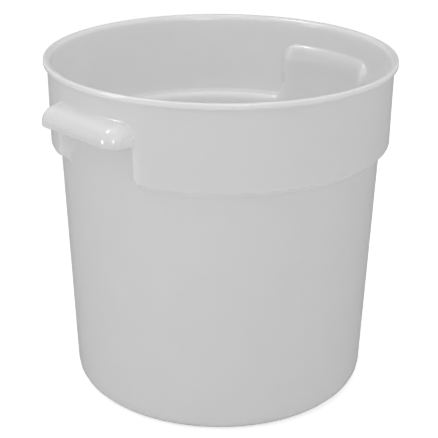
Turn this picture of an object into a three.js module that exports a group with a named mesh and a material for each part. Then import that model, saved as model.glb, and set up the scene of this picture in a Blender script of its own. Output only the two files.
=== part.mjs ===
import * as THREE from "three";

// Round food container: a tapered tub under a wider collar, with a flat lip and two moulded hand grips.
// The real container is one moulding. The pieces below are its moulded zones, and they meet face to face.
// Millimetres, +Z up. The origin is on the axis at the standing plane, and the grips face +X and -X.

// Tub
const HEIGHT = 310; // standing plane to the top of the lip
const RIM_DIAMETER = 315; // across the lip
const WALL = 3;
const BODY_DRAFT = 2.44; // degrees that the tub leans out below the shoulder
const HEEL_RADIUS = 18; // outside of the rounded corner at the floor
const FOOT_WIDTH = 12; // flat ring that the tub stands on
const FLOOR_LIFT = 2; // middle of the floor above the standing plane

// Lip
const LIP_THICKNESS = 4;
const LIP_OVERHANG = 3.4; // beyond the outside of the collar
const LIP_ROUND = 1.2; // radius of its edges

// Collar and the shoulder under it
const COLLAR_DEPTH = 71.5; // top of the lip to the top of the shoulder
const COLLAR_DRAFT = 1; // degrees
const SHOULDER_STEP = 8.6; // from the collar in to the tub
const SHOULDER_DROP = 10.3;
const SHOULDER_BEND = 5; // drop to where the collar's line and the shoulder's slope would meet
const LEDGE_ROUND = 2; // inside edge of the ledge above the shoulder

// Grips: a hood over a finger pocket that is open below
const HOOD_DROP = 24; // top of the lip to the crease where the hood starts
const HOOD_HEIGHT = 18; // crease to the hood's lower edge
const HOOD_CROWN = 15; // height of the hood's curved top
const HOOD_FALL = 3.6; // drop of the curved top's tangent across the hood
const HOOD_REACH = 15.7; // straight front beyond the collar, at the middle of the grip
const HOOD_CHEEK = 2.5; // side wall of the pocket to the end of the hood
const HOOD_END = 2.6; // length over which each end of the hood closes
const HOOD_CORNER = 10; // radius of the hood's upper corners, seen from the front
const HOOD_TURN = 11; // radius of its front corners, seen from above
const POCKET_WIDTH = 92.8; // between the middles of the pocket's side walls
const POCKET_SIDE = 6; // length over which a side wall turns in
const POCKET_ROUND = 3; // corner between the pocket's ceiling and its back
const BUMP_SIDE = 9; // length over which the wall inside the tub turns in behind the pocket
const BUMP_ROUND = 7; // height of the rounded top of that bump
const BUMP_CORNER = 16; // radius of its upper corners, seen from inside the tub
const GRIP_MARGIN = 2; // plain collar at each end of a grip

// Facets
const TURN_STEPS = 64; // round a full turn
const COLLAR_STEPS = 24; // along each half of the collar
const GRIP_STEPS = 8; // along the even stretch of a grip
const GRIP_END_STEPS = 12; // along each end of a grip
const ARC_STEPS = 5; // along a large rounding
const EDGE_STEPS = 2; // along a small rounding

// Levels
const RIM_RADIUS = RIM_DIAMETER / 2;
const LIP_BOTTOM = HEIGHT - LIP_THICKNESS;
const SHOULDER_TOP = HEIGHT - COLLAR_DEPTH;
const SHOULDER_BOTTOM = SHOULDER_TOP - SHOULDER_DROP;
const COLLAR_BOTTOM = SHOULDER_BOTTOM - WALL;
const CREASE = HEIGHT - HOOD_DROP;
const HOOD_EDGE = CREASE - HOOD_HEIGHT;
const BUMP_TOP = CREASE + WALL / 2;

// Radii of the leaning walls at a level
const lean = (degrees) => Math.tan(THREE.MathUtils.degToRad(degrees));
const collarOutside = (z) => RIM_RADIUS - LIP_OVERHANG - (LIP_BOTTOM - z) * lean(COLLAR_DRAFT);
const collarInside = (z) => collarOutside(z) - WALL;
const TUB_RADIUS = collarOutside(SHOULDER_TOP) - SHOULDER_STEP;
const tubOutside = (z) => TUB_RADIUS - (SHOULDER_BOTTOM - z) * lean(BODY_DRAFT);
const tubInside = (z) => tubOutside(z) - WALL;

// The heel is an arc that meets the standing plane and the leaning wall without a corner.
const DRAFT_ANGLE = THREE.MathUtils.degToRad(BODY_DRAFT);
const HEEL_TOP = HEEL_RADIUS * (1 - Math.sin(DRAFT_ANGLE));
const HEEL_CENTRE = tubOutside(HEEL_TOP) - HEEL_RADIUS * Math.cos(DRAFT_ANGLE);

// Places along a grip, measured from its middle
const POCKET_END = POCKET_WIDTH / 2;
const BUMP_END = POCKET_END + WALL;
const HOOD_HALF = POCKET_END + HOOD_CHEEK;
const HOOD_LIMIT = HOOD_HALF + HOOD_END / 2;
const GRIP_EVEN = Math.min(POCKET_END - POCKET_SIDE / 2, HOOD_LIMIT - Math.max(HOOD_TURN, HOOD_CORNER));
const GRIP_HALF = Math.max(HOOD_LIMIT, BUMP_END + BUMP_SIDE / 2) + GRIP_MARGIN;

const point = (across, up) => new THREE.Vector2(across, up);
const spread = (from, to, steps) =>
  Array.from({ length: steps + 1 }, (_, i) => THREE.MathUtils.lerp(from, to, i / steps));
const line = (from, to, steps) => new THREE.LineCurve(from, to).getPoints(steps);
const curve = (from, bend, to, steps) => new THREE.QuadraticBezierCurve(from, bend, to).getPoints(steps);

// A quarter of an ellipse, or another stretch of it, from one angle to another in degrees.
function arc(centre, wide, high, fromDegrees, toDegrees, steps) {
  const from = THREE.MathUtils.degToRad(fromDegrees);
  const to = THREE.MathUtils.degToRad(toDegrees);
  const clockwise = to < from;
  return new THREE.EllipseCurve(centre.x, centre.y, wide, high, from, to, clockwise).getPoints(steps);
}

// Each point of one outline moved towards its partner in another.
const blend = (from, to, share) => from.map((p, i) => p.clone().lerp(to[i], share));

// 1 along a grip up to half a length before the end, 0 half a length past it, with a smooth turn between.
const fade = (along, end, length) =>
  1 - THREE.MathUtils.smoothstep(Math.abs(along), end - length / 2, end + length / 2);

// How far a rounded corner has fallen back at a place along a grip.
function cornerDrop(along, end, radius) {
  const past = THREE.MathUtils.clamp(Math.abs(along) - end + radius, 0, radius);
  return radius - Math.sqrt(radius * radius - past * past);
}

// The flat face inside a section, as a strip of triangles that always takes the shorter way across the wall.
function endFaces(section) {
  const faces = [];
  let outer = 0;
  let inner = section.length - 1;
  while (outer + 1 < inner) {
    const acrossFromOuter = section[outer + 1].distanceTo(section[inner]);
    const acrossFromInner = section[inner - 1].distanceTo(section[outer]);
    const next = acrossFromOuter < acrossFromInner ? outer + 1 : inner - 1;
    faces.push([section[outer], section[next], section[inner]]);
    if (next === outer + 1) outer = next;
    else inner = next;
  }
  return faces;
}

// A closed mesh through sections that have the same number of points.
// A ring closes on itself, and an open run is closed by its end sections.
function skin(sections, isRing) {
  const corners = [];
  const addFace = (a, b, c) => {
    const collapsed = a.equals(b) || b.equals(c) || c.equals(a);
    if (!collapsed) corners.push(a, b, c);
  };
  const count = sections[0].length;
  const spans = isRing ? sections.length : sections.length - 1;
  for (let s = 0; s < spans; s++) {
    const here = sections[s];
    const next = sections[(s + 1) % sections.length];
    for (let i = 0; i < count; i++) {
      const j = (i + 1) % count;
      addFace(here[i], next[i], next[j]);
      addFace(here[i], next[j], here[j]);
    }
  }
  if (!isRing) {
    endFaces(sections[0]).forEach(([a, b, c]) => addFace(a, b, c));
    endFaces(sections[sections.length - 1]).forEach(([a, b, c]) => addFace(c, b, a));
  }
  return new THREE.BufferGeometry().setFromPoints(corners);
}

// A closed outline, as radius and height, turned about the axis.
function turned(outline) {
  const sections = Array.from({ length: TURN_STEPS }, (_, step) => {
    const angle = (step / TURN_STEPS) * 2 * Math.PI;
    return outline.map((p) => new THREE.Vector3(p.x * Math.cos(angle), p.x * Math.sin(angle), p.y));
  });
  return skin(sections, true);
}

// Lip: a flat ring with rounded edges, flush with the inside of the collar
function lip() {
  const inner = collarInside(LIP_BOTTOM);
  const corner = (across, up, from) =>
    arc(point(across, up), LIP_ROUND, LIP_ROUND, from, from + 90, EDGE_STEPS);
  return turned([
    point(inner, LIP_BOTTOM),
    ...corner(RIM_RADIUS - LIP_ROUND, LIP_BOTTOM + LIP_ROUND, -90),
    ...corner(RIM_RADIUS - LIP_ROUND, HEIGHT - LIP_ROUND, 0),
    ...corner(inner + LIP_ROUND, HEIGHT - LIP_ROUND, 90),
  ]);
}

// Shoulder from the collar in to the tub, and the ledge that it makes inside
function shoulder() {
  const start = point(collarOutside(SHOULDER_TOP), SHOULDER_TOP);
  const bend = point(start.x, SHOULDER_TOP - SHOULDER_BEND);
  return curve(start, bend, point(TUB_RADIUS, SHOULDER_BOTTOM), ARC_STEPS);
}
function ledge() {
  const edge = point(tubInside(SHOULDER_BOTTOM) + LEDGE_ROUND, SHOULDER_BOTTOM + WALL - LEDGE_ROUND);
  return [
    ...arc(edge, LEDGE_ROUND, LEDGE_ROUND, 180, 90, EDGE_STEPS),
    ...arc(point(TUB_RADIUS, SHOULDER_TOP), SHOULDER_STEP - WALL, SHOULDER_DROP - WALL, -90, 0, ARC_STEPS),
  ];
}

// Half of the collar, between the two grips
function collarHalf(side) {
  const outline = [
    point(collarOutside(LIP_BOTTOM), LIP_BOTTOM),
    ...shoulder(),
    point(tubOutside(COLLAR_BOTTOM), COLLAR_BOTTOM),
    point(tubInside(COLLAR_BOTTOM), COLLAR_BOTTOM),
    ...ledge(),
    point(collarInside(LIP_BOTTOM), LIP_BOTTOM),
  ];
  const sections = Array.from({ length: COLLAR_STEPS + 1 }, (_, step) =>
    outline.map((p) => {
      const first = Math.asin(GRIP_HALF / p.x);
      const angle = first + (step / COLLAR_STEPS) * (Math.PI - 2 * first);
      const isEnd = step === 0 || step === COLLAR_STEPS;
      const y = isEnd ? GRIP_HALF : p.x * Math.sin(angle);
      return new THREE.Vector3(-side * p.x * Math.cos(angle), side * y, p.y);
    }),
  );
  return skin(sections, false);
}

// One section of a grip, on a plane at a distance along it from its middle
function gripSection(along) {
  const chord = (radius, z) => point(Math.sqrt(radius * radius - along * along), z);
  const onCollar = (z) => chord(collarOutside(z), z);
  const onTub = (z) => chord(tubOutside(z), z);
  const inTub = (z) => chord(tubInside(z), z);
  const inCollar = (z) => chord(collarInside(z), z);
  const down = (where, from, to, steps) => spread(from, to, steps).map(where);

  const hoodShare = fade(along, HOOD_HALF, HOOD_END);
  const pocketShare = fade(along, POCKET_END, POCKET_SIDE);
  const bumpShare = fade(along, BUMP_END, BUMP_SIDE);
  const crease = CREASE - cornerDrop(along, HOOD_LIMIT, HOOD_CORNER);
  const ceiling = crease - WALL;
  const bumpTop = BUMP_TOP - cornerDrop(along, BUMP_END + BUMP_SIDE / 2, BUMP_CORNER);

  // Outside of the hood, and the bare collar that it fades into
  const front = collarOutside(CREASE) + HOOD_REACH - cornerDrop(along, HOOD_LIMIT, HOOD_TURN);
  const tip = WALL / 2;
  const brow = CREASE - HOOD_CROWN;
  const hood = [
    ...curve(onCollar(crease), point(front, crease - HOOD_FALL), point(front, brow), ARC_STEPS),
    ...arc(point(front - tip, HOOD_EDGE + tip), tip, tip, 0, -90, EDGE_STEPS),
  ];
  const bareCollar = down(onCollar, crease, HOOD_EDGE, hood.length - 1);

  // Pocket: up inside the hood, across its ceiling and down its back
  const back = onTub(ceiling - POCKET_ROUND);
  const pocket = [
    ...arc(point(front - tip, HOOD_EDGE + tip), tip, tip, -135, -180, 1),
    ...curve(
      point(front - WALL, brow),
      point(front - WALL, ceiling - HOOD_FALL),
      point(onCollar(crease).x, ceiling),
      ARC_STEPS - 1,
    ),
    ...arc(point(back.x + POCKET_ROUND, back.y), POCKET_ROUND, POCKET_ROUND, 90, 180, EDGE_STEPS),
    ...down(onTub, SHOULDER_TOP, SHOULDER_BOTTOM, ARC_STEPS),
  ];
  // The same run past the end of the pocket: under the hood, then down the collar and round the shoulder
  const lowerCollar = [
    ...down(onCollar, HOOD_EDGE - 2 * WALL, (HOOD_EDGE + SHOULDER_TOP) / 2, EDGE_STEPS + 1),
    ...shoulder().map((p) => chord(p.x, p.y)),
  ];
  const underSteps = pocket.length - lowerCollar.length;
  const underHood = line(point(front - tip, HOOD_EDGE), onCollar(HOOD_EDGE), underSteps).slice(1);
  const pastHood = down(onCollar, HOOD_EDGE, HOOD_EDGE - WALL, underSteps).slice(1);
  const wallUnder = [...blend(pastHood, underHood, hoodShare), ...lowerCollar];

  // Inside: the bump behind the pocket, and the ledge and collar that it fades into
  const bump = [
    ...down(inTub, SHOULDER_BOTTOM + WALL - LEDGE_ROUND, SHOULDER_TOP, EDGE_STEPS + ARC_STEPS + 1),
    ...curve(
      inTub(bumpTop - BUMP_ROUND),
      point(inTub(bumpTop - BUMP_ROUND).x, bumpTop - LEDGE_ROUND),
      inCollar(bumpTop),
      ARC_STEPS,
    ),
  ];
  const plainInside = [
    ...ledge().map((p) => chord(p.x, p.y)),
    ...down(inCollar, bumpTop - BUMP_ROUND, bumpTop, ARC_STEPS),
  ];

  return [
    onCollar(LIP_BOTTOM),
    ...blend(bareCollar, hood, hoodShare),
    ...blend(wallUnder, pocket, pocketShare),
    onTub(COLLAR_BOTTOM),
    inTub(COLLAR_BOTTOM),
    ...blend(plainInside, bump, bumpShare),
    inCollar(LIP_BOTTOM),
  ];
}

// Stretch of the collar with a grip, facing +X or -X
function grip(side) {
  const even = spread(-GRIP_EVEN, GRIP_EVEN, GRIP_STEPS);
  const ends = [...spread(GRIP_EVEN, GRIP_HALF - GRIP_MARGIN, GRIP_END_STEPS).slice(1), GRIP_HALF];
  const places = [...ends.map((along) => -along).reverse(), ...even, ...ends];
  const sections = places.map((along) =>
    gripSection(along).map((p) => new THREE.Vector3(side * p.x, -side * along, p.y)),
  );
  return skin(sections, false);
}

// Wall of the tub between the heel and the collar
const tubWall = () =>
  turned([
    point(tubOutside(HEEL_TOP), HEEL_TOP),
    point(tubOutside(COLLAR_BOTTOM), COLLAR_BOTTOM),
    point(tubInside(COLLAR_BOTTOM), COLLAR_BOTTOM),
    point(tubInside(HEEL_TOP), HEEL_TOP),
  ]);

// Rounded corner between the wall and the floor
function heel() {
  const centre = point(HEEL_CENTRE, HEEL_RADIUS);
  const outside = arc(centre, HEEL_RADIUS, HEEL_RADIUS, -90, -BODY_DRAFT, ARC_STEPS);
  const inside = arc(centre, HEEL_RADIUS - WALL, HEEL_RADIUS - WALL, -BODY_DRAFT, -90, ARC_STEPS);
  inside[0].set(tubInside(HEEL_TOP), HEEL_TOP);
  return turned([...outside, ...inside]);
}

// Floor, lifted in the middle so that the tub stands on a ring
function floor() {
  const ring = HEEL_CENTRE - FOOT_WIDTH;
  const lifted = ring - FLOOR_LIFT;
  return turned([
    point(0, FLOOR_LIFT),
    point(lifted, FLOOR_LIFT),
    point(ring, 0),
    point(HEEL_CENTRE, 0),
    point(HEEL_CENTRE, WALL),
    point(ring, WALL),
    point(lifted, WALL + FLOOR_LIFT),
    point(0, WALL + FLOOR_LIFT),
  ]);
}

// Satin white polyethylene, a little different from zone to zone as its thickness changes
const WHITE = 0xe6e6e4;
const THICK_WHITE = 0xececea;
const ROUGHNESS = 0.42;
function zone(name, geometry, colour) {
  const mesh = new THREE.Mesh(
    geometry,
    new THREE.MeshStandardMaterial({ color: colour, roughness: ROUGHNESS, metalness: 0 }),
  );
  mesh.name = name;
  return mesh;
}

const container = new THREE.Group();
container.name = "round_food_container";
container.add(
  zone("floor_panel", floor(), WHITE),
  zone("heel_ring", heel(), WHITE),
  zone("tub_wall", tubWall(), WHITE),
  zone("collar_rear", collarHalf(1), WHITE),
  zone("collar_front", collarHalf(-1), WHITE),
  zone("grip_right", grip(1), THICK_WHITE),
  zone("grip_left", grip(-1), THICK_WHITE),
  zone("rim_lip", lip(), THICK_WHITE),
);

export default container;
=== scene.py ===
# %% [markdown]
# # A round food container
# The object is a white polyethylene tub for kitchen storage: a tapered wall, a wider collar above a
# shoulder, a flat lip, and on two sides a hooded hand grip with a finger pocket under it. It is one
# injection moulding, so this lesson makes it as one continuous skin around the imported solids, gives
# it a satin plastic finish and lights it softly.

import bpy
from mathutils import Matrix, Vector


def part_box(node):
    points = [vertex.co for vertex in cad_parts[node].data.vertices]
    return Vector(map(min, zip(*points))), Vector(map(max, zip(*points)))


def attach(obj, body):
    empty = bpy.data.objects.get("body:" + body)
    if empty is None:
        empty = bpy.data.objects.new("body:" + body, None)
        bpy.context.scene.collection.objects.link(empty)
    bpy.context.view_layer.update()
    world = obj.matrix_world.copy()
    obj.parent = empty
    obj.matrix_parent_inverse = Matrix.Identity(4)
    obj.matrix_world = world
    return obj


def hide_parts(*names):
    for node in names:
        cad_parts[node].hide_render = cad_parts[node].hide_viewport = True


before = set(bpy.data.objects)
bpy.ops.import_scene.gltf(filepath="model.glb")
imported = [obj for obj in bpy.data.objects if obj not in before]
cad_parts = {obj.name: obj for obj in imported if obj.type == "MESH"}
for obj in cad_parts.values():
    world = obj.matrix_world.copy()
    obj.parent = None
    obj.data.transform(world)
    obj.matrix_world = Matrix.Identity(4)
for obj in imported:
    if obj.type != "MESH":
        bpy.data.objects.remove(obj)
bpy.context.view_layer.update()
print("solids:", sorted(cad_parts))

# %% Tools for the rest of the lesson
import math

import bpy
import numpy as np
from mathutils import Matrix, Vector

MM = 0.001
scene = bpy.context.scene
scene.view_settings.view_transform = "Standard"
print("lengths are in metres, and one millimetre is", MM)

# %% [markdown]
# ## Camera
# The picture looks down into the tub from a little over a metre away, with one grip at the front
# left. The camera could be placed by eye, but a square picture with a known focal length in pixels
# gives Blender's lens directly, so the camera is set from an aim point, two angles, a distance and
# a slight roll.

# %% Camera at the picture's viewpoint
PICTURE_PIXELS = 438
FOCAL_PIXELS = 1281
SENSOR_WIDTH = 36.0
AZIMUTH = math.radians(-44.0)
ELEVATION = math.radians(21.87)
ROLL = math.radians(0.43)
DISTANCE = 1.2
AIM_RIGHT = -0.6 * MM
AIM_HEIGHT = 150.8 * MM

right = Vector((math.cos(AZIMUTH), math.sin(AZIMUTH), 0))
forward = Vector((-math.sin(AZIMUTH), math.cos(AZIMUTH), 0))
back = Vector((0, 0, 1)) * math.sin(ELEVATION) - forward * math.cos(ELEVATION)
aim = right * AIM_RIGHT + Vector((0, 0, AIM_HEIGHT))

lens = bpy.data.cameras.new("viewpoint")
lens.sensor_width = SENSOR_WIDTH
lens.lens = SENSOR_WIDTH * FOCAL_PIXELS / PICTURE_PIXELS
camera = bpy.data.objects.new("viewpoint", lens)
facing = back.to_track_quat("Z", "Y").to_matrix().to_4x4()
rolled = facing @ Matrix.Rotation(ROLL, 4, "Z")
camera.matrix_world = Matrix.Translation(aim + back * DISTANCE) @ rolled
scene.collection.objects.link(camera)
scene.camera = camera
stands = [round(c, 3) for c in camera.matrix_world.translation]
print(f"camera at {stands}, lens {lens.lens:.1f} mm")

# %% [markdown]
# ## Sizes
# Every level and radius of the skin has to sit on the solids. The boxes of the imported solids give
# the main ones, so the skin follows if the solids change. Wall thickness and the small roundings
# are a moulder's own choices, and are written here.

# %% Levels and radii from the solids
lip_low, lip_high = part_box("rim_lip")
collar_low, collar_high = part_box("collar_rear")
grip_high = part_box("grip_right")[1]
wall_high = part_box("tub_wall")[1]
heel_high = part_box("heel_ring")[1]
floor_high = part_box("floor_panel")[1]

WALL = 3.0 * MM
LIP_DEEPER = 1.2 * MM
HEIGHT = lip_high.z
RIM_RADIUS = lip_high.x
LIP_BOTTOM = lip_low.z - LIP_DEEPER
COLLAR_RADIUS = collar_high.y
SHOULDER_BOTTOM = collar_low.z + WALL
HOOD_FRONT = grip_high.x
GRIP_HALF = grip_high.y
HEEL_CENTRE = floor_high.x
FLOOR_LIFT = floor_high.z - WALL
print(f"tub {HEIGHT:.3f} high and {2 * RIM_RADIUS:.3f} across the lip")

# %% Leaning walls
COLLAR_LEAN = math.tan(math.radians(1.0))
SHOULDER_STEP = 8.6 * MM
SHOULDER_DROP = 10.3 * MM
SHOULDER_BEND = 4.2 * MM
SHOULDER_TOP = SHOULDER_BOTTOM + SHOULDER_DROP
TUB_LEAN = (wall_high.x - heel_high.x) / (wall_high.z - heel_high.z)


def collar_outside(up):
    return COLLAR_RADIUS - (LIP_BOTTOM - up) * COLLAR_LEAN


def collar_inside(up):
    return collar_outside(up) - WALL


TUB_RADIUS = collar_outside(SHOULDER_TOP) - SHOULDER_STEP


def tub_outside(up):
    return TUB_RADIUS - (SHOULDER_BOTTOM - up) * TUB_LEAN


def tub_inside(up):
    return tub_outside(up) - WALL


print(f"the tub leans out by {math.degrees(math.atan(TUB_LEAN)):.2f} degrees")

# %% [markdown]
# ## Grips
# A grip is a hood over a pocket that is open below. Fingers go up into the pocket, whose back runs
# straight on from the tub's wall, so inside the tub it shows as a bump. Hood, pocket and bump could
# be cut and joined as separate meshes, but then their soft corners would need bevels that clash.
# Instead each place along the grip says how much of the hood, the pocket and the bump it has, and
# the section between a plain collar and a full grip follows from these shares. Steps are measured
# down from the bump's top, and levels up from the hood's edge.

# %% Sizes of the hood
CREASE = HEIGHT - 24 * MM
HOOD_EDGE = CREASE - 18 * MM
HOOD_HALF = 49 * MM
HOOD_FALL = 3.6 * MM
HOOD_LEAN = 0.8 * MM
HOOD_END = 1.2 * MM
HOOD_CORNER = 10 * MM
HOOD_TURN = 12.5 * MM
HOOD_LEVELS = np.array((-2, -1.4, -0.7, 0, 4)) * MM
CHEEK_PLACES = (0.4, 0.7)
print(f"the hood is {2 * HOOD_HALF:.3f} long")

# %% Sizes of the pocket
POCKET_END = 45.4 * MM
POCKET_SIDE = 8 * MM
POCKET_FOOT = 11 * MM
COLLAR_START = POCKET_END + POCKET_SIDE / 4
print(f"the pocket is {2 * POCKET_END:.3f} long")

# %% Sizes of the bump and of the ledge beside it
BUMP_END = 50.6 * MM
BUMP_SIDE = 9.5 * MM
BUMP_TOP = CREASE
BUMP_CORNER = 16 * MM
BUMP_STEPS = np.array((9, 21, 30)) * MM
LEDGE_STEPS = np.array((4, 12)) * MM
LEDGE_THICKNESS = 5 * MM
print(f"the bump is {2 * BUMP_END:.3f} long")


# %% Shares along a grip
def share(along, end, length):
    """1 in the middle of a grip, 0 past the end, with a smooth turn of the given length."""
    past = np.clip((abs(along) - end) / length + 0.5, 0, 1)
    return 1 - past * past * (3 - 2 * past)


def corner_drop(along, end, radius):
    """How far a rounded upper corner has fallen at a place along a grip."""
    past = np.clip(abs(along) - end + radius, 0, radius)
    return radius - math.sqrt(radius * radius - past * past)


print("pocket share at its end:", round(float(share(POCKET_END, POCKET_END, POCKET_SIDE)), 2))

# %% [markdown]
# ## One section of the wall
# A section is a chain of corners, from the underside of the floor out to the heel, up the wall,
# over the lip and down the inside. Each corner has a rounding. A chain of few corners is easy to
# read, and moving one corner reshapes the wall without spoiling its roundings, which are added
# later.


# %% Corners of the collar on a plane across a grip
def collar_corners(along=0.0, hood=0.0, pocket=0.0, bump=0.0, lift=0.0):
    """Corners as (across, up), from the foot of the shoulder over the lip to the ledge inside.

    The hood, the pocket and the bump are shares from 0 to 1. The lift raises the shoulder and the
    ledge, and rounds the collar's corner at each end of a pocket.
    """

    def on(wall, up):
        return np.array((math.sqrt(wall(up) ** 2 - along**2), up))

    def mix(plain, formed, amount):
        return [(1 - amount) * p + amount * f for p, f in zip(plain, formed)]

    crease = CREASE - corner_drop(along, HOOD_HALF, HOOD_CORNER)
    front = HOOD_FRONT - corner_drop(along, HOOD_HALF, HOOD_TURN)
    ceiling = crease - WALL
    foot = on(tub_outside, SHOULDER_BOTTOM)
    shoulder = on(collar_outside, SHOULDER_TOP) + (0, lift - SHOULDER_BEND)
    tip = np.array((front - HOOD_LEAN, HOOD_EDGE))
    brow = np.array((front + HOOD_LEAN, crease - HOOD_FALL))
    inward = np.array((-WALL, 0))
    root = on(collar_outside, HOOD_EDGE)

    plain = [shoulder] + [on(collar_outside, HOOD_EDGE + step) for step in HOOD_LEVELS]
    cheek = [shoulder, root] + [root + (tip - root) * place for place in CHEEK_PLACES] + [tip, brow]
    opened = [
        on(tub_outside, SHOULDER_TOP),
        on(tub_outside, ceiling),
        brow + inward + (0, ceiling - crease),
        tip + inward,
        tip,
        brow,
    ]
    outside = mix(mix(plain, cheek, hood), opened, pocket)

    bump_top = BUMP_TOP - corner_drop(along, BUMP_END + BUMP_SIDE / 2, BUMP_CORNER)
    ledge = SHOULDER_BOTTOM + LEDGE_THICKNESS + lift
    edge = np.array((on(tub_inside, SHOULDER_BOTTOM)[0], ledge))
    foot_of_wall = np.array((on(collar_inside, SHOULDER_TOP)[0], ledge))
    flat = [on(collar_inside, bump_top - step) for step in LEDGE_STEPS] + [foot_of_wall, edge]
    swelled = [on(tub_inside, bump_top - step) for step in BUMP_STEPS] + [on(tub_inside, ledge)]
    inside = [on(collar_inside, bump_top)] + mix(flat, swelled, bump)

    lip_out = math.sqrt(RIM_RADIUS**2 - along**2)
    lip_in = on(collar_inside, LIP_BOTTOM)[0]
    lip = [
        on(collar_outside, LIP_BOTTOM),
        np.array((lip_out, LIP_BOTTOM)),
        np.array((lip_out, HEIGHT)),
        np.array((lip_in, HEIGHT)),
    ]
    return [foot] + outside + [on(collar_outside, crease)] + lip + inside


print(len(collar_corners()), "corners in the collar")

# %% Roundings of these corners, in millimetres
OUTSIDE_ROUNDS = (7, 3, 8, 9, 1.4, 1.4, 15, 1.5)
LIP_ROUNDS = (1.8, 1.3, 1.5, 4.5)
LEDGE_ROUNDS = (2, 2, 2, 3, 9)
BUMP_ROUNDS = (2.5, 30, 9, 9, 9)


def collar_rounds(bump=0.0):
    """Roundings of the corners, which change where the ledge turns into a bump."""
    inside = [(1 - bump) * a + bump * b for a, b in zip(LEDGE_ROUNDS, BUMP_ROUNDS)]
    return np.array([*OUTSIDE_ROUNDS, *LIP_ROUNDS, *inside]) * MM


print(len(collar_rounds()), "roundings in the collar")

# %% Corners of the floor, as radius and height
FOOT_WIDTH = 12 * MM
GATE_RADIUS = 9 * MM
GATE_DEPTH = 0.6 * MM
NUB_RADIUS = 3 * MM
POLE_RADIUS = 0.5 * MM
ring = HEEL_CENTRE - FOOT_WIDTH
lifted = ring - FLOOR_LIFT

UNDERSIDE = [
    (POLE_RADIUS, FLOOR_LIFT),
    (NUB_RADIUS, FLOOR_LIFT),
    (NUB_RADIUS + GATE_DEPTH / 2, FLOOR_LIFT + GATE_DEPTH),
    (GATE_RADIUS - GATE_DEPTH / 2, FLOOR_LIFT + GATE_DEPTH),
    (GATE_RADIUS, FLOOR_LIFT),
    (lifted, FLOOR_LIFT),
    (ring, 0),
    (tub_outside(0), 0),
]
UNDERSIDE_ROUNDS = np.array((0, 0.3, 0.3, 0.3, 0.3, 1.5, 1.5, 18)) * MM
INSIDE_FLOOR = [
    (tub_inside(WALL), WALL),
    (ring, WALL),
    (lifted, WALL + FLOOR_LIFT),
    (POLE_RADIUS, WALL + FLOOR_LIFT),
]
INSIDE_ROUNDS = np.array((15, 3, 3, 0)) * MM
print("standing ring from", round(ring, 4), "to", round(HEEL_CENTRE, 4))

# %% [markdown]
# ## Sections all the way round
# Blender's Screw modifier could spin one section about the tub's axis, but with its grips the tub
# isn't the same all the way round. So each section has its own corners. Across a grip the sections
# stand on parallel planes, so that its front stays straight. Between the grips they turn about the
# axis. The floor's corners always turn, by the angle that the section has at the tub's wall.


# %% Sections of a grip and of the plain collar
def turned(corners, angle):
    return [(r * math.cos(a), r * math.sin(a), up) for (r, up), a in zip(corners, angle)]


def grip_section(along):
    """A section on a plane across a grip, at a place along it."""
    shares = (
        share(along, HOOD_HALF + HOOD_END / 2, HOOD_END),
        share(along, POCKET_END, POCKET_SIDE),
        share(along, BUMP_END, BUMP_SIDE),
    )
    to_collar = max(COLLAR_START + POCKET_FOOT - abs(along), 0)
    lift = corner_drop(to_collar, POCKET_FOOT, POCKET_FOOT)
    collar = [(across, along, up) for across, up in collar_corners(along, *shares, lift)]
    angle = math.asin(along / TUB_RADIUS)
    below = turned(UNDERSIDE, [angle] * len(UNDERSIDE))
    return below + collar + turned(INSIDE_FLOOR, [angle] * len(INSIDE_FLOOR))


def collar_section(part):
    """A plain section, part of the way from one grip's end to the next grip's start."""
    corners = UNDERSIDE + [tuple(c) for c in collar_corners()] + INSIDE_FLOOR
    first = [math.asin(GRIP_HALF / max(r, TUB_RADIUS - SHOULDER_STEP)) for r, up in corners]
    return turned(corners, [a + part * (math.pi - 2 * a) for a in first])


print(len(grip_section(0.0)), "corners in a whole section")

# %% Places of the sections
GRIP_EVEN = HOOD_HALF - HOOD_TURN
HOOD_STOP = HOOD_HALF + HOOD_END
EVEN_STEPS = 18
TURN_STEPS = 18
STOP_STEPS = 6
PLAIN_STEPS = 10
COLLAR_STEPS = 60
turning = GRIP_EVEN + HOOD_TURN * np.sin(np.linspace(0, math.pi / 2, TURN_STEPS + 1))
stopping = np.linspace(HOOD_HALF, HOOD_STOP, STOP_STEPS + 1)
plain_end = np.linspace(HOOD_STOP, GRIP_HALF, PLAIN_STEPS + 1)
ends = np.concatenate([turning[1:], stopping[1:], plain_end[1:]])
places = np.concatenate([-ends[::-1], np.linspace(-GRIP_EVEN, GRIP_EVEN, EVEN_STEPS + 1), ends])
parts = np.linspace(0, 1, COLLAR_STEPS + 1)[1:-1]
print(len(places), "places across a grip and", len(parts), "between the grips")

# %% Corners and roundings of every section
half = np.array([grip_section(t) for t in places] + [collar_section(p) for p in parts])
other_half = half * (-1, -1, 1)
sections = np.concatenate([half, other_half])
bumps = [share(t, BUMP_END, BUMP_SIDE) for t in places] + [0.0] * len(parts)
half_rounds = [np.concatenate([UNDERSIDE_ROUNDS, collar_rounds(b), INSIDE_ROUNDS]) for b in bumps]
print(f"{sections.shape[0]} sections of {sections.shape[1]} corners")

# %% [markdown]
# ## Roundings
# A mould has no sharp corners. A bevel modifier would have to find the corners again, so each
# corner becomes an arc here: a conic through the two points where the rounding starts and ends,
# which is an exact circle when its middle weight is the cosine of half the turn. A corner that
# happens to be straight gets a few points along the line, so that every section keeps the same
# number of points.

# %% Round the corners of a section
ARC_STEPS = 5
FULL = 0.94
STRAIGHT_SPACING = 0.12


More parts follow.
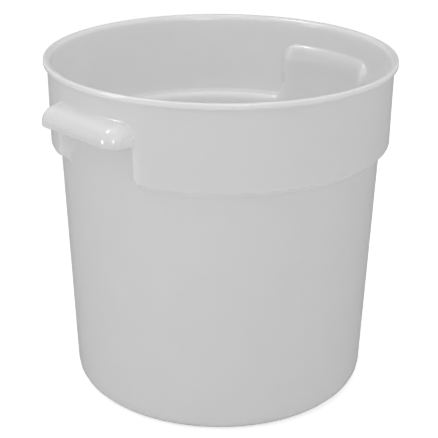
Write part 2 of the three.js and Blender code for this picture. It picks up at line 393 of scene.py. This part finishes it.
def rounded(corners, rounds):
    """One arc of points for each corner of a chain, between its first and its last point."""
    runs = np.diff(corners, axis=0)
    lengths = np.linalg.norm(runs, axis=1)
    ways = runs / lengths[:, None]
    turns = np.arccos(np.clip(np.sum(ways[:-1] * ways[1:], axis=1), -1, 1))
    room = np.minimum(lengths[:-1], lengths[1:])
    even = STRAIGHT_SPACING * room * np.maximum(np.cos(turns), 0)
    reach = np.hypot(rounds[1:-1] * np.tan(turns / 2), even)
    asked = np.concatenate([[0], reach, [0]])
    given = np.minimum(1, FULL * lengths / (asked[:-1] + asked[1:]))
    reach = reach * np.minimum(given[:-1], given[1:])
    steps = np.linspace(0, 1, ARC_STEPS + 1)[:, None]
    points = [corners[:1]]
    for i, (turn, length) in enumerate(zip(turns, reach), start=1):
        start = corners[i] - ways[i - 1] * length
        end = corners[i] + ways[i] * length
        weight = 2 * math.cos(turn / 2) * steps * (1 - steps)
        total = (1 - steps) ** 2 + weight + steps**2
        points.append(((1 - steps) ** 2 * start + weight * corners[i] + steps**2 * end) / total)
    points.append(corners[-1:])
    return points


print("each corner has an arc of", ARC_STEPS + 1, "points")

# %% Join the arcs
RUN_STEPS = 3
LONG_RUN_STEPS = 24
LONG_RUN = 0.1


def run_steps(run):
    return LONG_RUN_STEPS if np.linalg.norm(run) > LONG_RUN else RUN_STEPS


def joined(arcs, counts):
    """The arcs of one section, with points between them that crowd towards the arcs."""
    line = []
    for arc, following, count in zip(arcs, arcs[1:], counts):
        line.append(arc)
        spread = (1 - np.cos(np.linspace(0, math.pi, count + 1)[1:-1])) / 2
        line.append(arc[-1] + spread[:, None] * (following[0] - arc[-1]))
    line.append(arcs[-1])
    return np.concatenate(line)


run_counts = [run_steps(run) for run in np.diff(sections[0], axis=0)]
around = zip(sections, half_rounds + half_rounds)
skin = np.array([joined(rounded(section, rounds), run_counts) for section, rounds in around])
print(f"each section has {skin.shape[1]} points")

# %% [markdown]
# ## The skin
# The points of neighbouring sections become quads, and the two poles at the middle of the floor
# become fans. One mesh stands for all the solids, because the real tub has no seam between its
# zones.


# %% Mesh of the tub
def tub_mesh(name, rows):
    count, length = rows.shape[:2]
    index = np.arange(count * length).reshape(count, length)
    here, after = index[:, :-1], np.roll(index, -1, axis=0)[:, :-1]
    upper, upper_after = index[:, 1:], np.roll(index, -1, axis=0)[:, 1:]
    quads = np.stack([here, after, upper_after, upper], axis=-1).reshape(-1, 4)
    under, over = count * length, count * length + 1
    rim_under, rim_over = index[:, 0], index[:, -1]
    fans = [(under, b, a) for a, b in zip(rim_under, np.roll(rim_under, -1))]
    fans += [(over, a, b) for a, b in zip(rim_over, np.roll(rim_over, -1))]
    poles = [rows[:, 0].mean(axis=0), rows[:, -1].mean(axis=0)]
    points = np.concatenate([rows.reshape(-1, 3), poles])
    mesh = bpy.data.meshes.new(name)
    mesh.from_pydata(points.tolist(), [], quads.tolist() + fans)
    mesh.shade_smooth()
    mesh.validate()
    return mesh


tub = bpy.data.objects.new("moulded_tub", tub_mesh("moulded_tub", skin))
scene.collection.objects.link(tub)
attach(tub, "root")
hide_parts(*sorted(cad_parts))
print(f"{tub.name}: {len(tub.data.vertices)} points, {len(tub.data.polygons)} faces")

# %% [markdown]
# ## Shader sums
# Shader maths is easier to read as sums than as boxes and wires. The class below wraps one socket,
# and each operator adds the Math node that it stands for.


# %% A socket that can be used in sums
class Wire:
    def __init__(self, tree, socket=None):
        self.tree = tree
        self.socket = socket

    def node(self, kind, settings=None, inputs=None, output=0):
        """Adds a node: first its settings, then the values or links of its sockets."""
        made = self.tree.nodes.new(kind)
        for name, value in (settings or {}).items():
            setattr(made, name, value)
        for key, value in (inputs or {}).items():
            if isinstance(value, Wire):
                self.tree.links.new(value.socket, made.inputs[key])
            else:
                made.inputs[key].default_value = value
        return Wire(self.tree, made.outputs[output]) if made.outputs else made

    def sum(self, operation, first, second):
        return self.node("ShaderNodeMath", {"operation": operation}, {0: first, 1: second})

    def __add__(self, other):
        return self.sum("ADD", self, other)

    def __radd__(self, other):
        return self.sum("ADD", other, self)

    def __sub__(self, other):
        return self.sum("SUBTRACT", self, other)

    def __rsub__(self, other):
        return self.sum("SUBTRACT", other, self)

    def __mul__(self, other):
        return self.sum("MULTIPLY", self, other)

    def __rmul__(self, other):
        return self.sum("MULTIPLY", other, self)


def new_material(name):
    material = bpy.data.materials.new(name)
    material.use_nodes = True
    material.node_tree.nodes.clear()
    return material, Wire(material.node_tree)


print("sums add nodes to a shader")

# %% [markdown]
# ## Polyethylene
# The plastic is white, a little cloudy, and satin rather than shiny. Light goes some way into it,
# which softens every edge and lets the lip and the hood glow. Its gloss varies where the mould was
# polished, its skin has a very fine grain, and the places that get handled have faint scuffs. A
# paler band is painted along the edges of the shoulder and of the ledge: a painted highlight that
# stands in for the light these edges catch. A painted texture could show all this,
# but it would need a flat map of the tub. Noise at different scales, measured in the tub's own
# coordinates, needs none and stays in place on the tub.

# %% Noise in the tub's own coordinates
material, start = new_material("satin_polyethylene")
place = start.node("ShaderNodeTexCoord", output="Object")


def noise(scale, detail, vector=place):
    inputs = {"Vector": vector, "Scale": scale, "Detail": detail}
    return start.node("ShaderNodeTexNoise", {"noise_dimensions": "3D"}, inputs)


def scaled(vector, factors):
    return start.node("ShaderNodeVectorMath", {"operation": "MULTIPLY"}, {0: vector, 1: factors})


def rise(value, low, high):
    """0 below the low value, 1 above the high one."""
    inputs = {"Value": value, "From Min": low, "From Max": high}
    return start.node("ShaderNodeMapRange", None, inputs)


CLOUD_SCALE, CLOUD_DETAIL = 14, 3
HAZE_SCALE, HAZE_DETAIL = 70, 2
GRAIN_SCALE, GRAIN_DETAIL = 1400, 2
cloud = noise(CLOUD_SCALE, CLOUD_DETAIL)
haze = noise(HAZE_SCALE, HAZE_DETAIL)
grain = noise(GRAIN_SCALE, GRAIN_DETAIL)
print("cloud, haze and grain at", CLOUD_SCALE, HAZE_SCALE, GRAIN_SCALE, "per metre")

# %% Places that get handled
HEEL_WEAR = 16 * MM
LIP_WEAR = 5 * MM
HOOD_WEAR = 7 * MM
across = start.node("ShaderNodeSeparateXYZ", None, {"Vector": place}, output="X")
height = start.node("ShaderNodeSeparateXYZ", None, {"Vector": place}, output="Z")
reach = start.node("ShaderNodeMath", {"operation": "ABSOLUTE"}, {0: across})
from_axis = {0: scaled(place, (1, 1, 0))}
radius = start.node("ShaderNodeVectorMath", {"operation": "LENGTH"}, from_axis, output="Value")
at_heel = rise(height, HEEL_WEAR, 0) * rise(radius, HEEL_CENTRE - FOOT_WIDTH, HEEL_CENTRE)
at_lip = rise(height, HEIGHT - LIP_WEAR, HEIGHT)
at_hood = rise(reach, HOOD_FRONT - HOOD_WEAR, HOOD_FRONT)
handled = start.sum("MAXIMUM", start.sum("MAXIMUM", at_heel, at_lip), at_hood)
print("handled at the heel, the lip and the hoods")

# %% Scuffs at these places
SCUFF_STRETCH = (90, 90, 1300)
SCUFF_DETAIL = 3
SCUFF_FROM, SCUFF_TO = 0.52, 0.7
streaks = noise(1.0, SCUFF_DETAIL, scaled(place, SCUFF_STRETCH))
scuff = rise(streaks, SCUFF_FROM, SCUFF_TO) * handled
print("scuffs stretched by", SCUFF_STRETCH)

# %% Painted highlight along the edges of the shoulder and the ledge
# A paler band is painted around the shoulder's lower edge and along the ledge inside. It is a painted
# highlight for the light these edges catch, and it fades out towards the grips.
EDGE_RISE = 4.5 * MM
EDGE_LEVEL = SHOULDER_BOTTOM + EDGE_RISE
EDGE_HALF = 3.5 * MM
EDGE_FADE = 10 * MM
grip_start = math.sqrt(TUB_RADIUS**2 - GRIP_HALF**2)
from_edge = start.node("ShaderNodeMath", {"operation": "ABSOLUTE"}, {0: height - EDGE_LEVEL})
painted_highlight = rise(from_edge, EDGE_HALF, 0) * rise(reach, grip_start, grip_start - EDGE_FADE)
print("edges rubbed pale at", round(EDGE_LEVEL, 4), "up")

# %% Colour of the plastic
MILKY = (0.85, 0.85, 0.846, 1)
CLEAR = (0.91, 0.91, 0.909, 1)
SCUFFED = (0.76, 0.76, 0.745, 1)
# Colour of the painted highlight on the shoulder and the ledge.
PAINTED_HIGHLIGHT_COLOUR = (0.95, 0.95, 0.95, 1)
SCUFF_TINT = 0.6
COLOUR_A, COLOUR_B, COLOUR_OUT = 6, 7, 2


def blend(factor, first, second):
    """A colour between two, through the colour sockets of a Mix node."""
    inputs = {"Factor": factor, COLOUR_A: first, COLOUR_B: second}
    return start.node("ShaderNodeMix", {"data_type": "RGBA"}, inputs, output=COLOUR_OUT)


clouded = blend(cloud, MILKY, CLEAR)
# The painted highlight on the shoulder and the ledge is blended over the clouded colour here.
pale = blend(painted_highlight, clouded, PAINTED_HIGHLIGHT_COLOUR)
colour = blend(scuff * SCUFF_TINT, pale, SCUFFED)
print("colour from", MILKY[:3], "to", CLEAR[:3])

# %% Gloss and relief of the plastic
GLOSS, GLOSS_HAZE, GLOSS_SCUFF = 0.17, 0.06, 0.03
GRAIN_STRENGTH = 0.12
GRAIN_DEPTH = 0.05 * MM
gloss = GLOSS + GLOSS_HAZE * haze + GLOSS_SCUFF * scuff
relief = {"Strength": GRAIN_STRENGTH, "Distance": GRAIN_DEPTH, "Height": grain - scuff}
grained = start.node("ShaderNodeBump", None, relief)
print("roughness from", GLOSS, "to", GLOSS + GLOSS_HAZE + GLOSS_SCUFF)

# %% Plastic on the tub
PLASTIC_IOR = 1.5
LIGHT_REACH = 18 * MM
shader = start.node(
    "ShaderNodeBsdfPrincipled",
    {"subsurface_method": "RANDOM_WALK"},
    {
        "Base Color": colour,
        "Roughness": gloss,
        "Normal": grained,
        "IOR": PLASTIC_IOR,
        "Subsurface Weight": 1.0,
        "Subsurface Radius": (1.0, 1.0, 1.0),
        "Subsurface Scale": LIGHT_REACH,
    },
)
start.node("ShaderNodeOutputMaterial", None, {"Surface": shader})
tub.data.materials.append(material)
print(material.name, "has", len(material.node_tree.nodes), "nodes")

# %% [markdown]
# ## Stage
# The tub stands on a wide pale floor under a soft white sky. A white ground could come from
# brighter lamps, but these would bleach the tub. So the floor is an ordinary matt surface that
# keeps the tub's shadow, and it glows a little where the camera or a reflection sees it.

# %% Floor
FLOOR_HALF = 6.0
signs = ((-1, -1), (1, -1), (1, 1), (-1, 1))
floor_corners = [(x * FLOOR_HALF, y * FLOOR_HALF, 0) for x, y in signs]
floor_mesh = bpy.data.meshes.new("studio_floor")
floor_mesh.from_pydata(floor_corners, [], [(0, 1, 2, 3)])
floor = bpy.data.objects.new("studio_floor", floor_mesh)
scene.collection.objects.link(floor)
print("floor", 2 * FLOOR_HALF, "across")


# %% Matt white that the camera sees as white
def shown(start):
    """1 for the camera and for mirrored or transmitted rays, 0 for light on matt surfaces."""
    camera_ray = start.node("ShaderNodeLightPath", output="Is Camera Ray")
    mirrored = start.node("ShaderNodeLightPath", output="Is Glossy Ray")
    let_through = start.node("ShaderNodeLightPath", output="Is Transmission Ray")
    return camera_ray + mirrored + let_through


FLOOR_GREY = (0.88, 0.88, 0.88, 1)
FLOOR_GLOW = 0.56
WHITE = (1, 1, 1, 1)
floor_material, start = new_material("studio_floor")
matt = start.node("ShaderNodeBsdfDiffuse", None, {"Color": FLOOR_GREY})
strength = shown(start) * FLOOR_GLOW
glow = start.node("ShaderNodeEmission", None, {"Color": WHITE, "Strength": strength})
both = start.node("ShaderNodeAddShader", None, {0: matt, 1: glow})
start.node("ShaderNodeOutputMaterial", None, {"Surface": both})
floor_mesh.materials.append(floor_material)
print("floor grey", FLOOR_GREY[0], "with a glow of", FLOOR_GLOW)

# %% Sky
HORIZON = 0.5
ZENITH = 0.4
world = bpy.data.worlds.new("studio_sky")
scene.world = world
world.use_nodes = True
world.node_tree.nodes.clear()
start = Wire(world.node_tree)
direction = start.node("ShaderNodeTexCoord", output="Generated")
upward = start.node("ShaderNodeSeparateXYZ", None, {"Vector": direction}, output="Z")
level = HORIZON + (ZENITH - HORIZON) * start.sum("MAXIMUM", upward, 0.0)
light = start.node("ShaderNodeBackground", None, {"Color": WHITE, "Strength": level})
white = start.node("ShaderNodeBackground", None, {"Color": WHITE, "Strength": 1.0})
sky = start.node("ShaderNodeMixShader", None, {0: shown(start), 1: light, 2: white})
start.node("ShaderNodeOutputWorld", None, {"Surface": sky})
print("sky from", HORIZON, "to", ZENITH)

# %% [markdown]
# ## Grey card
# White plastic on white ground loses its outline. Photographers put grey card near it, so that its
# edges mirror something darker. Here a wide grey disc lies on the floor and is bent up behind the
# tub. Only reflections see it, so it takes no light away.

# %% Shape of the grey card
CARD_RADIUS = 2.6
CARD_LIFT = 0.2 * MM
CARD_STEPS = 72
BEND_STEPS = 10
BEND_HEIGHT = 1.8
first = math.atan2(forward.y, forward.x) - math.pi * BEND_STEPS / CARD_STEPS
angles = [first + step * 2 * math.pi / CARD_STEPS for step in range(CARD_STEPS)]
circle = [(CARD_RADIUS * math.cos(a), CARD_RADIUS * math.sin(a), CARD_LIFT) for a in angles]
bent_up = [(x, y, BEND_HEIGHT) for x, y, z in circle[: BEND_STEPS + 1]]
panels = [(a, a + 1, a + 1 + CARD_STEPS, a + CARD_STEPS) for a in range(BEND_STEPS)]
card_mesh = bpy.data.meshes.new("grey_card")
card_mesh.from_pydata(circle + bent_up, [], [tuple(range(CARD_STEPS))] + panels)
card = bpy.data.objects.new("grey_card", card_mesh)
scene.collection.objects.link(card)
print("grey card", 2 * CARD_RADIUS, "across")

# %% Grey that only reflections see
CARD_GREY = 0.35
card.visible_camera = False
card.visible_diffuse = False
card.visible_shadow = False
card.visible_transmission = False
card_material, start = new_material("grey_card")
even = start.node("ShaderNodeEmission", None, {"Color": WHITE, "Strength": CARD_GREY})
start.node("ShaderNodeOutputMaterial", None, {"Surface": even})
card_mesh.materials.append(card_material)
print("card grey", CARD_GREY)

# %% [markdown]
# ## Lamps
# Four wide lamps shape the tub: one overhead, one high in front, and one low on each side. The
# bright points on the rounded end of the hood could come from the same lamps if they were small,
# but then every shadow would be hard. Three small lamps that only reflections see make these points
# instead.

# %% Angles in degrees, power and size of each lamp
WIDE_LAMPS = {
    "lamp_left": (-65, 11, 3.3, 1.2),
    "lamp_right": (38, 12, 1.6, 1.2),
    "lamp_front": (-12, 45, 9, 2.0),
    "lamp_top": (0, 85, 7.5, 1.2),
}
GLINT_LAMPS = {
    "glint_left": (-68, 3, 12, 0.3),
    "glint_right": (12, 12, 9.5, 0.45),
    "glint_above": (-95, 60, 13, 0.55),
}
print(len(WIDE_LAMPS), "wide lamps and", len(GLINT_LAMPS), "small ones")

# %% Place the lamps
LAMP_DISTANCE = 2.0


def lamp(name, azimuth, elevation, power, size):
    """A square lamp, by its angles to the right of the camera and above the floor."""
    turn, lift = math.radians(azimuth), math.radians(elevation)
    level = right * math.sin(turn) - forward * math.cos(turn)
    towards = level * math.cos(lift) + Vector((0, 0, math.sin(lift)))
    light = bpy.data.lights.new(name, "AREA")
    light.size = size
    light.energy = power
    holder = bpy.data.objects.new(name, light)
    holder.location = aim + towards * LAMP_DISTANCE
    holder.rotation_euler = towards.to_track_quat("Z", "Y").to_euler()
    scene.collection.objects.link(holder)
    return holder


for name, values in WIDE_LAMPS.items():
    lamp(name, *values)
for name, values in GLINT_LAMPS.items():
    glint = lamp(name, *values)
    glint.visible_diffuse = False
    glint.visible_transmission = False
